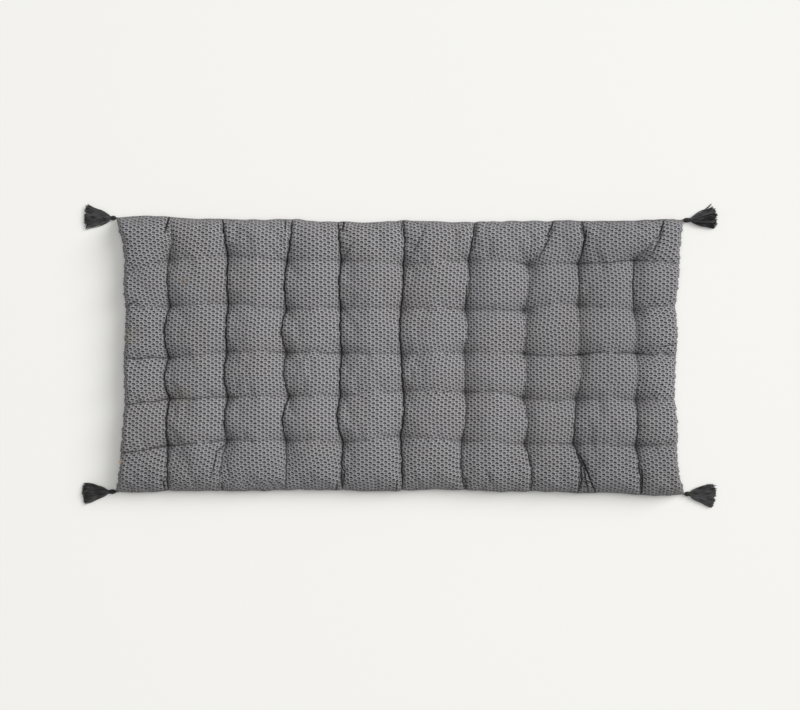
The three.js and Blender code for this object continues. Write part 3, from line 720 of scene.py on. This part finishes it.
def stains_and_bands(n, place, colour):
    """Darker bands along the front edge, the short sides and the right part, a faint stain and a few specks
    of wear.
    """
    axes = n.node("ShaderNodeSeparateXYZ", Vector=place)
    # Broad bands where the cloth is mixed a little towards the print's dark: along the front edge, the sides
    # and the right part
    for axis, middle, half, strength in DARKER_BANDS:
        off = n.math("ABSOLUTE", n.math("SUBTRACT", axes.outputs["xy".index(axis)], middle * MM))
        band = n.smooth(off, DARKER_BAND_EDGE[0] * half * MM, DARKER_BAND_EDGE[1] * half * MM)
        colour = n.mix(n.math("MULTIPLY", band, strength), colour, PRINT)
    level = n.node("ShaderNodeVectorMath", Vector=place)
    level.operation = "MULTIPLY"
    level.inputs[1].default_value = STAIN_FLAT
    for x, y, z, radius, strength, stain_colour in STAINS:
        away = n.node("ShaderNodeVectorMath", Vector=level.outputs[0])
        away.operation = "DISTANCE"
        away.inputs[1].default_value = [flat * size * MM for flat, size in zip(STAIN_FLAT, (x, y, z))]
        spread = n.smooth(away.outputs["Value"], radius * MM, radius * STAIN_CORE * MM)
        colour = n.mix(n.math("MULTIPLY", spread, strength), colour, stain_colour)
    return colour


def cover_cloth():
    n = Nodes("cover_cloth", COVER_SHADER)
    uv = n.node("ShaderNodeUVMap")
    uv.uv_map = "flat_cloth"
    split = n.node("ShaderNodeSeparateXYZ", Vector=uv.outputs[0])
    u, v = split.outputs[0], split.outputs[1]
    place = n.node("ShaderNodeTexCoord").outputs["Object"]
    weave_u = n.math("SINE", n.math("MULTIPLY", u, 2 * math.pi * REPEAT_X / WEAVE_PITCH))
    weave_v = n.math("SINE", n.math("MULTIPLY", v, 2 * math.pi * REPEAT_Y / WEAVE_PITCH))
    weave = n.math("MULTIPLY", weave_u, weave_v)
    slub = n.noise(place, **SLUB)
    slow = n.noise(place, **SLOW)
    uneven = n.math("ADD", n.math("MULTIPLY", n.math("SUBTRACT", slub, 0.5), SLUB_INK),
                    n.math("MULTIPLY", n.math("SUBTRACT", slow, 0.5), SLOW_INK))
    ink = print_ink(n, u, v)
    free = n.math("SUBTRACT", 1.0, n.math("MULTIPLY", ink, UNEVEN_INK))
    ink = n.math("ADD", ink, n.math("MULTIPLY", uneven, free))
    ink = n.math("ADD", ink, n.math("MULTIPLY", weave, WEAVE_INK))
    ground = n.mix(n.smooth(slow, *WARM), GROUND, GROUND_WARM)
    colour = n.mix(n.clamp(ink), ground, PRINT)
    colour = n.mix(nip_shade(n, place), colour, SHADE)
    n.put(n.shader.inputs["Base Color"], stains_and_bands(n, place, colour))
    n.bump(n.math("ADD", weave, n.math("MULTIPLY", slub, SLUB_HEIGHT)), **COVER_BUMP)
    return n.material


def yarn(name, dark, light):
    n = Nodes(name, YARN_SHADER)
    fuzz = n.noise(n.node("ShaderNodeTexCoord").outputs["Object"], **FUZZ)
    tone = n.math("MULTIPLY", n.attribute("tone"), YARN_TONE)
    level = n.math("ADD", tone, n.math("MULTIPLY", fuzz, FUZZ_TONE))
    n.put(n.shader.inputs["Base Color"], n.mix(n.attribute("tan"), n.mix(level, dark, light), TAN))
    n.bump(fuzz, **YARN_BUMP)
    return n.material


# Mattress
def under_face(ids, i, j):
    """One face of the lower panel; along the seam it takes in every point of the rim."""
    n, m, k = ids.shape[0] - 1, ids.shape[1] - 1, UNDER_STRIDE
    face = list(ids[i:i + k, j]) if j == 0 else [ids[i, j]]
    face += list(ids[i + k, j:j + k]) if i + k == n else [ids[i + k, j]]
    face += list(ids[i + k:i:-1, j + k]) if j + k == m else [ids[i + k, j + k]]
    face += list(ids[i, j + k:j:-1]) if i == 0 else [ids[i, j + k]]
    return face


def held_points():
    """The points of the simulated panel that stay in place: the rim, the sharp folds and the tufts."""
    every = np.s_[::CLOTH_STRIDE, ::CLOTH_STRIDE]
    off_fold = np.abs(P - np.round(P))[every]
    off_crease = np.abs(Q - np.round(Q))[every]
    sharp = along_spans(SLIT_SHARE, np.round(P).astype(int), Q)[every]
    held = (off_crease < CLOTH_HELD / 2) & (off_fold < CREASE_HELD)
    held |= (off_fold < CLOTH_HELD) & (sharp > HELD_SHARP)
    held[[0, -1], :] = held[:, [0, -1]] = True
    return held


def settled(surface):
    """The upper panel after a cloth simulation: a little loose and blown up from below."""
    coarse = surface[::CLOTH_STRIDE, ::CLOTH_STRIDE]
    n, m = coarse.shape[:2]
    ids = np.arange(n * m).reshape(n, m)
    mesh = bpy.data.meshes.new("panel")
    mesh.from_pydata((coarse.reshape(-1, 3) * MM).tolist(), [], quads_of(ids))
    panel = bpy.data.objects.new("panel", mesh)
    bpy.context.scene.collection.objects.link(panel)
    panel.vertex_groups.new(name="held").add(ids[held_points()].tolist(), 1.0, "REPLACE")
    cloth = panel.modifiers.new("cloth", "CLOTH")
    for name, value in CLOTH_SETTINGS.items():
        setattr(cloth.settings, name, value)
    cloth.settings.effector_weights.gravity = 0
    cloth.collision_settings.use_collision = False
    cloth.point_cache.frame_start = 1
    cloth.point_cache.frame_end = CLOTH_FRAMES
    for number in range(1, CLOTH_FRAMES + 1):
        bpy.context.scene.frame_set(number)
    shape = panel.evaluated_get(bpy.context.evaluated_depsgraph_get()).to_mesh()
    moved = np.zeros(n * m * 3)
    shape.vertices.foreach_get("co", moved)
    move = moved.reshape(n, m, 3) / MM - coarse
    bpy.data.objects.remove(panel)
    bpy.context.scene.frame_set(1)
    move *= np.minimum(1, CLOTH_CAP / np.maximum(np.linalg.norm(move, axis=-1, keepdims=True), TINY))
    return surface + spread_out(spread_out(move, 0), 1)


def spread_out(values, axis):
    """Values on every second line of the grid, filled in on the lines between."""
    values = np.moveaxis(values, axis, 0)
    full = np.empty((2 * len(values) - 1, *values.shape[1:]))
    full[::2] = values
    full[1::2] = (values[:-1] + values[1:]) / 2
    return np.moveaxis(full, 0, axis)


def flat_under(under, seam):
    """Where the lower panel's points lie on the flat cloth, in repeats of the print."""
    drawn = UNDER_TAKE_UP * np.clip(seam - under[..., 2], 0, None)
    to_side, to_long = edge_distances()
    u = under[..., 0] - np.sign(under[..., 0]) * drawn * (to_side < to_long)
    v = under[..., 1] - np.sign(under[..., 1]) * drawn * (to_side >= to_long)
    return np.stack([u / REPEAT_X, -v / REPEAT_Y], -1)


def make_mattress():
    top, seam, to_edge = top_surface()
    top = settled(top)
    under = under_surface(seam)
    n, m = P.shape
    index = np.arange(n * m).reshape(n, m)
    starts_p, starts_q = range(0, n - 1, UNDER_STRIDE), range(0, m - 1, UNDER_STRIDE)
    inner = np.ix_(starts_p[1:], starts_q[1:])
    below = index.copy()
    below[inner] = n * m + np.arange(len(starts_p[1:]) * len(starts_q[1:])).reshape(len(starts_p[1:]), -1)
    verts = np.vstack([top.reshape(-1, 3), under[inner].reshape(-1, 3)])
    verts[:, :2] += SHIFT
    upper = quads_of(index)
    lower = [under_face(below, i, j) for i in starts_p for j in starts_q]
    obj = new_object("mattress_cover", verts * MM, upper + lower, cover_cloth())
    u, v = flat_coordinates(top)
    u = u + waves(u, v, **DRIFT)
    v = v + waves(u, v, **DRIFT)
    flat_upper = np.stack([u / REPEAT_X, v / REPEAT_Y], -1).reshape(-1, 2)
    flat_lower = np.zeros((len(verts), 2))
    flat_lower[below.ravel()] = flat_under(under, seam).reshape(-1, 2)
    loops = np.vstack([flat_upper[np.ravel(upper)], flat_lower[np.concatenate(lower)]])
    layer = obj.data.uv_layers.new(name="flat_cloth")
    layer.data.foreach_set("uv", loops.astype(np.float32).ravel())
    at_seam = (to_edge - SEAM_IN, np.full(P.shape, SEAM_SHADE))
    nips = [nip_lines(PINCHES[0::2]), nip_lines(PINCHES[1::2]), crease_lines(), fold_lines(), at_seam]
    for k, nip in enumerate(nips):
        for name, values in zip(("nip_off", "nip_depth"), nip):
            add_values(obj, f"{name}_{k}", np.pad(values.ravel(), (0, len(verts) - n * m)))
    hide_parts("mattress")
    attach(obj, "root")
    return obj


# Tassels: heading in degrees, sizes from the corner outwards, and loose yarns as side and reach
TASSELS = [
    dict(node="tassel_left_back", corner=CORNERS[0], heading=178, head=16, length=70, spread=46, sway=-2,
         tone=0.58, loose=[(1.08, 0.9), (1.14, 0.82), (1.02, 0.97), (1.2, 0.86)], stitch=False),
    dict(node="tassel_left_front", corner=CORNERS[3], heading=182, head=23, length=74, spread=43, sway=1,
         tone=0.36, loose=[(1.05, 0.9)], stitch=False),
    dict(node="tassel_right_back", corner=CORNERS[1], heading=4, head=23, length=75, spread=44, sway=2,
         tone=0.36, loose=[], stitch=True),
    dict(node="tassel_right_front", corner=CORNERS[2], heading=-3, head=16, length=69, spread=45, sway=-1,
         tone=0.43, loose=[(1.12, 0.98), (1.2, 0.93), (1.06, 1.0), (1.26, 0.9)], stitch=False),
]
YARN_RADIUS = 0.62
YARN_TAPER = 0.14  # how much thinner a yarn ends
TUBE_SIDES = 4
TUBE_TURN = 0.4  # radians
TUBE_UPRIGHT = 0.9  # steeper paths take another axis

# Head, neck and stem of a tassel
HEAD_RINGS = 9
HEAD_START = 0.3
HEAD_RADIUS = 1.7
HEAD_SWELL = 2.9
HEAD_FULL = 0.93  # how much of a half wave the swell takes
HEAD_POWER = 0.8
HEAD_YARNS = 30
HEAD_SCATTER = 0.05  # radians
HEAD_TONES = (0.1, 0.5)
HEAD_SUNK = 0.1  # how far the yarns lie inside the swell
CORE_INSET = 0.5
CORE_SIDES = 12
CORE_TONE = 0.2
NECK_SHARE = 0.62  # of the head's length
FAN_SHARE = 0.8
WINDING = dict(turns=5, rings=110, length=3.2, radius=3.7)
WINDING_THREAD = 0.45
WINDING_TONE = 0.35
STITCHES = dict(turns=3, rings=60, length=3, radius=2.3)
STITCHES_START = -0.5
STITCHES_THREAD = 0.5
STITCHES_TONE = 0.5
STEM = [(-5, 0.5), (-2, 0.3), (0.5, 0), (2.5, 0)]  # from the corner, and above the seam
STEM_RADIUS = 1.6
STEM_SIDES = 8
STEM_TONE = 0.3

# Locks and yarns of the skirt
LOCKS = 54
LOCKS_WIDE = 18  # locks side by side in a layer
LOCK_STRANDS = 6
LOCK_SCATTER = 0.05
LOCK_LAYER = (0.2, 0.8)  # of a layer's thickness
LOCK_RAGGED = 0.11
LOCK_ROUND = 0.08  # how much shorter the outermost locks are
LOCK_TONES = 0.36
LOCK_BEND = 1.2
LOCK_WAVE = (0.3, 1.5)
LOCK_WAVE_TURNS = (1.2, 2.6)
STRAND_RINGS = 28
STRAND_SCATTER = 0.06
STRAND_RAGGED = 0.05
STRAND_TONES = 0.2
NECK_HALF_WIDTH = 3.2
NECK_HEIGHT = 6
NECK_SCATTER = 0.5
NECK_INSIDE = 1  # the yarns start this far inside the neck
FAN_FLARE = 0.65
FAN_HEIGHT = 9.5
FAN_SETTLE = 0.75  # share of its length at which a yarn is down
FLOOR_GAP = 0.6
WIGGLE = 0.35
WIGGLE_TURNS = (1, 2.5)
WIGGLE_END = 0.8
CRIMP = (0.2, 0.6)
CRIMP_TURNS = (6, 10)
LIFT = 0.3
SWING_TONE = 0.3
DRIFT_TONE = 0.15
DRIFT_TURNS = (2, 4)
LOOSE_LAYER = 0.5
LOOSE_TONE = 0.75
LOOSE_BEND = 3
LOOSE_WAVE = (1.0, 1.5)  # size and turns


def coil(start, height, turns, rings, length, radius):
    turn = np.linspace(0, turns * 2 * np.pi, rings)
    x = start + turn / turn[-1] * length
    return np.stack([x, radius * np.cos(turn), height + radius * np.sin(turn)], -1)


def make_tassel(t, material):
    verts, faces, tones, tans = [], [], [], []
    axis_z = CORNER_SEAM_HEIGHT
    neck = t["head"] * NECK_SHARE
    fan_start = t["head"] * FAN_SHARE
    share = np.linspace(0, 1, STRAND_RINGS)

    def add(part, tone, tan=0.0):
        base = sum(len(v) for v in verts)
        verts.append(part[0])
        faces.extend([[base + i for i in face] for face in part[1]])
        tones.append(np.resize(tone, len(part[0])))
        tans.append(np.full(len(part[0]), tan))

    def skirt_strand(side, layer, reach, tone, bend, wave):
        """One yarn from the neck to the fringe: side from -1 to 1 across, layer from 0 to 1 upwards."""
        a = RNG.uniform(0, 2 * np.pi)
        y0 = NECK_HALF_WIDTH * side + NECK_SCATTER * np.cos(a)
        z0 = axis_z + (layer - 0.5) * NECK_HEIGHT + NECK_SCATTER * np.sin(a)
        x = neck - NECK_INSIDE + ((t["length"] - neck) * reach + NECK_INSIDE) * share
        wiggle = RNG.normal(0, WIGGLE) * np.sin(np.pi * share * RNG.uniform(*WIGGLE_TURNS))
        wiggle = wiggle + RNG.normal(0, WIGGLE_END) * share**2
        crimp = RNG.uniform(*CRIMP) * np.sin(2 * np.pi * (RNG.uniform(*CRIMP_TURNS) * share + RNG.uniform()))
        opened = np.clip((x - fan_start) / (x[-1] - fan_start), 0, 1)
        swing = np.sin(2 * np.pi * (wave[1] * share + wave[2]))
        y = y0 + (side * t["spread"] / 2 - y0) * opened**FAN_FLARE + (t["sway"] + bend) * opened**2
        y = y + wiggle + crimp * share**0.5 + wave[0] * swing * opened**0.5
        settle = np.clip(share / FAN_SETTLE, 0, 1)
        settle = settle * settle * (3 - 2 * settle)
        z = z0 + (FLOOR_GAP + layer * FAN_HEIGHT - z0) * settle + RNG.normal(0, LIFT) * bulge(share)
        path = np.stack([x, y, np.maximum(z, FLOOR_GAP)], -1)
        drift = np.sin(2 * np.pi * (RNG.uniform(*DRIFT_TURNS) * share + RNG.uniform()))
        drift = np.clip(tone + SWING_TONE * swing + DRIFT_TONE * drift, 0, 1)
        add(tube(path, YARN_RADIUS - YARN_TAPER * share, TUBE_SIDES), np.repeat(drift, TUBE_SIDES))

    # The core of the head and the yarns laid over it
    along = np.linspace(0, 1, HEAD_RINGS)
    head_x = HEAD_START + along * neck
    bulb = HEAD_RADIUS + HEAD_SWELL * np.sin(np.pi * np.clip(along * HEAD_FULL, 0, 1)) ** HEAD_POWER
    core = np.stack([head_x, np.zeros(HEAD_RINGS), np.full(HEAD_RINGS, axis_z)], -1)
    add(tube(core, bulb - CORE_INSET, CORE_SIDES), CORE_TONE)
    for k in range(HEAD_YARNS):
        a = 2 * np.pi * k / HEAD_YARNS + RNG.uniform(-HEAD_SCATTER, HEAD_SCATTER)
        r = bulb - HEAD_SUNK
        path = np.stack([head_x, r * np.cos(a), axis_z + r * np.sin(a)], -1)
        add(tube(path, YARN_RADIUS, TUBE_SIDES), RNG.uniform(*HEAD_TONES))
    # The thread wound round the neck
    wound = coil(neck - WINDING["length"] / 2, axis_z, **WINDING)
    add(tube(wound, WINDING_THREAD, TUBE_SIDES), WINDING_TONE)
    # The stem into the corner's seam
    stem = np.array([(x, 0, axis_z + rise) for x, rise in STEM])
    add(tube(stem, STEM_RADIUS, STEM_SIDES), STEM_TONE)
    # The tan stitches at one corner
    if t["stitch"]:
        sewn = coil(STITCHES_START, axis_z, **STITCHES)
        add(tube(sewn, STITCHES_THREAD, TUBE_SIDES), STITCHES_TONE, 1.0)
    # The locks of the skirt
    for k in range(LOCKS):
        lock_side = (k % LOCKS_WIDE + 0.5) / LOCKS_WIDE * 2 - 1 + RNG.normal(0, LOCK_SCATTER)
        lock_layer = (k // LOCKS_WIDE + RNG.uniform(*LOCK_LAYER)) * LOCKS_WIDE / LOCKS
        lock_reach = 1 - RNG.uniform(0, LOCK_RAGGED) - LOCK_ROUND * lock_side**2
        lock_tone = np.clip(RNG.normal(t["tone"], LOCK_TONES), 0, 1)
        lock_bend = RNG.normal(0, LOCK_BEND)
        lock_wave = (RNG.uniform(*LOCK_WAVE), RNG.uniform(*LOCK_WAVE_TURNS), RNG.uniform())
        for _ in range(LOCK_STRANDS):
            skirt_strand(lock_side + RNG.normal(0, STRAND_SCATTER), lock_layer,
                         lock_reach - RNG.uniform(0, STRAND_RAGGED), lock_tone + RNG.normal(0, STRAND_TONES),
                         lock_bend, lock_wave)
    for side, reach in t["loose"]:
        bend = RNG.normal(-LOOSE_BEND * np.sign(side), LOOSE_BEND)
        wave = (*LOOSE_WAVE, RNG.uniform())
        skirt_strand(side, LOOSE_LAYER, reach, LOOSE_TONE, bend, wave)

    points = np.vstack(verts)
    heading = math.radians(t["heading"])
    c, s = math.cos(heading), math.sin(heading)
    turned = points.copy()
    turned[:, 0] = points[:, 0] * c - points[:, 1] * s + t["corner"][0] + SHIFT[0]
    turned[:, 1] = points[:, 0] * s + points[:, 1] * c + t["corner"][1] + SHIFT[1]
    obj = new_object(t["node"] + "_yarns", turned * MM, faces, material)
    add_values(obj, "tone", np.concatenate(tones))
    add_values(obj, "tan", np.concatenate(tans))
    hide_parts(t["node"])
    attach(obj, "root")


# Thread of the seam
SEAM_THREAD = 0.5
SEAM_TONE = 0.55


def make_seam(cover, material):
    """A thin line of thread round the edge, along the rim of the cover's grid."""
    n, m = P.shape
    ids = np.arange(n * m).reshape(n, m)
    ring = np.concatenate([ids[:-1, 0], ids[-1, :-1], ids[:0:-1, -1], ids[0, ::-1]])
    path = np.array([cover.data.vertices[k].co[:] for k in ring]) / MM
    verts, faces = tube(path, SEAM_THREAD, TUBE_SIDES)
    obj = new_object("edge_seam", verts * MM, faces, material)
    add_values(obj, "tone", np.full(len(verts), SEAM_TONE))
    add_values(obj, "tan", np.zeros(len(verts)))
    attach(obj, "root")


# Floor, light and camera, in metres
FLOOR_HALF = 120.0
WORLD_COLOUR = (1, 1, 1, 1)
WORLD_STRENGTH = 0.205
LIGHTS = [
    dict(name="key", place=(25.4, 12.8, 27.0), width=20.0, height=33.0, watts=12300),
    dict(name="overhead", place=(0.0, 0.0, 9.0), width=5.0, height=5.0, watts=305),
]
CAMERA_SENSOR = 36  # mm
CAMERA_DISTANCE = 4.0
CAMERA_VIEW = 1.68  # width of the picture there
CAMERA_AT = (0.00046, 0.0019)
CAMERA_RAISE = 0.027  # the distance is counted from this height
CAMERA_END = 100


def make_light(name, place, width, height, watts):
    data = bpy.data.lights.new(name, "AREA")
    data.shape = "ELLIPSE"
    data.size = width
    data.size_y = height
    data.energy = watts
    light = bpy.data.objects.new(name, data)
    light.location = place
    light.rotation_mode = "QUATERNION"
    light.rotation_quaternion = (-light.location).to_track_quat("-Z", "Y")
    bpy.context.scene.collection.objects.link(light)


def make_stage():
    s = FLOOR_HALF
    corners = np.array([[-s, -s, 0], [s, -s, 0], [s, s, 0], [-s, s, 0]])
    floor = new_object("floor", corners, [[0, 1, 2, 3]], Nodes("floor", FLOOR_SHADER).material, False)
    world = bpy.data.worlds.new("studio")
    bpy.context.scene.world = world
    world.use_nodes = True
    background = world.node_tree.nodes["Background"]
    background.inputs["Color"].default_value = WORLD_COLOUR
    background.inputs["Strength"].default_value = WORLD_STRENGTH
    for row in LIGHTS:
        make_light(**row)
    data = bpy.data.cameras.new("camera")
    data.sensor_width = CAMERA_SENSOR
    data.lens = CAMERA_SENSOR * CAMERA_DISTANCE / CAMERA_VIEW
    data.clip_end = CAMERA_END
    camera = bpy.data.objects.new("camera", data)
    camera.location = (*CAMERA_AT, CAMERA_DISTANCE + CAMERA_RAISE)
    bpy.context.scene.collection.objects.link(camera)
    bpy.context.scene.camera = camera
    bpy.context.scene.view_settings.view_transform = "Standard"


make_stage()
cover = make_mattress()
TASSEL_YARN = yarn("tassel_yarn", TASSEL_DARK, TASSEL_LIGHT)
for row in TASSELS:
    make_tassel(row, TASSEL_YARN)
make_seam(cover, yarn("seam_thread", THREAD_DARK, THREAD_LIGHT))
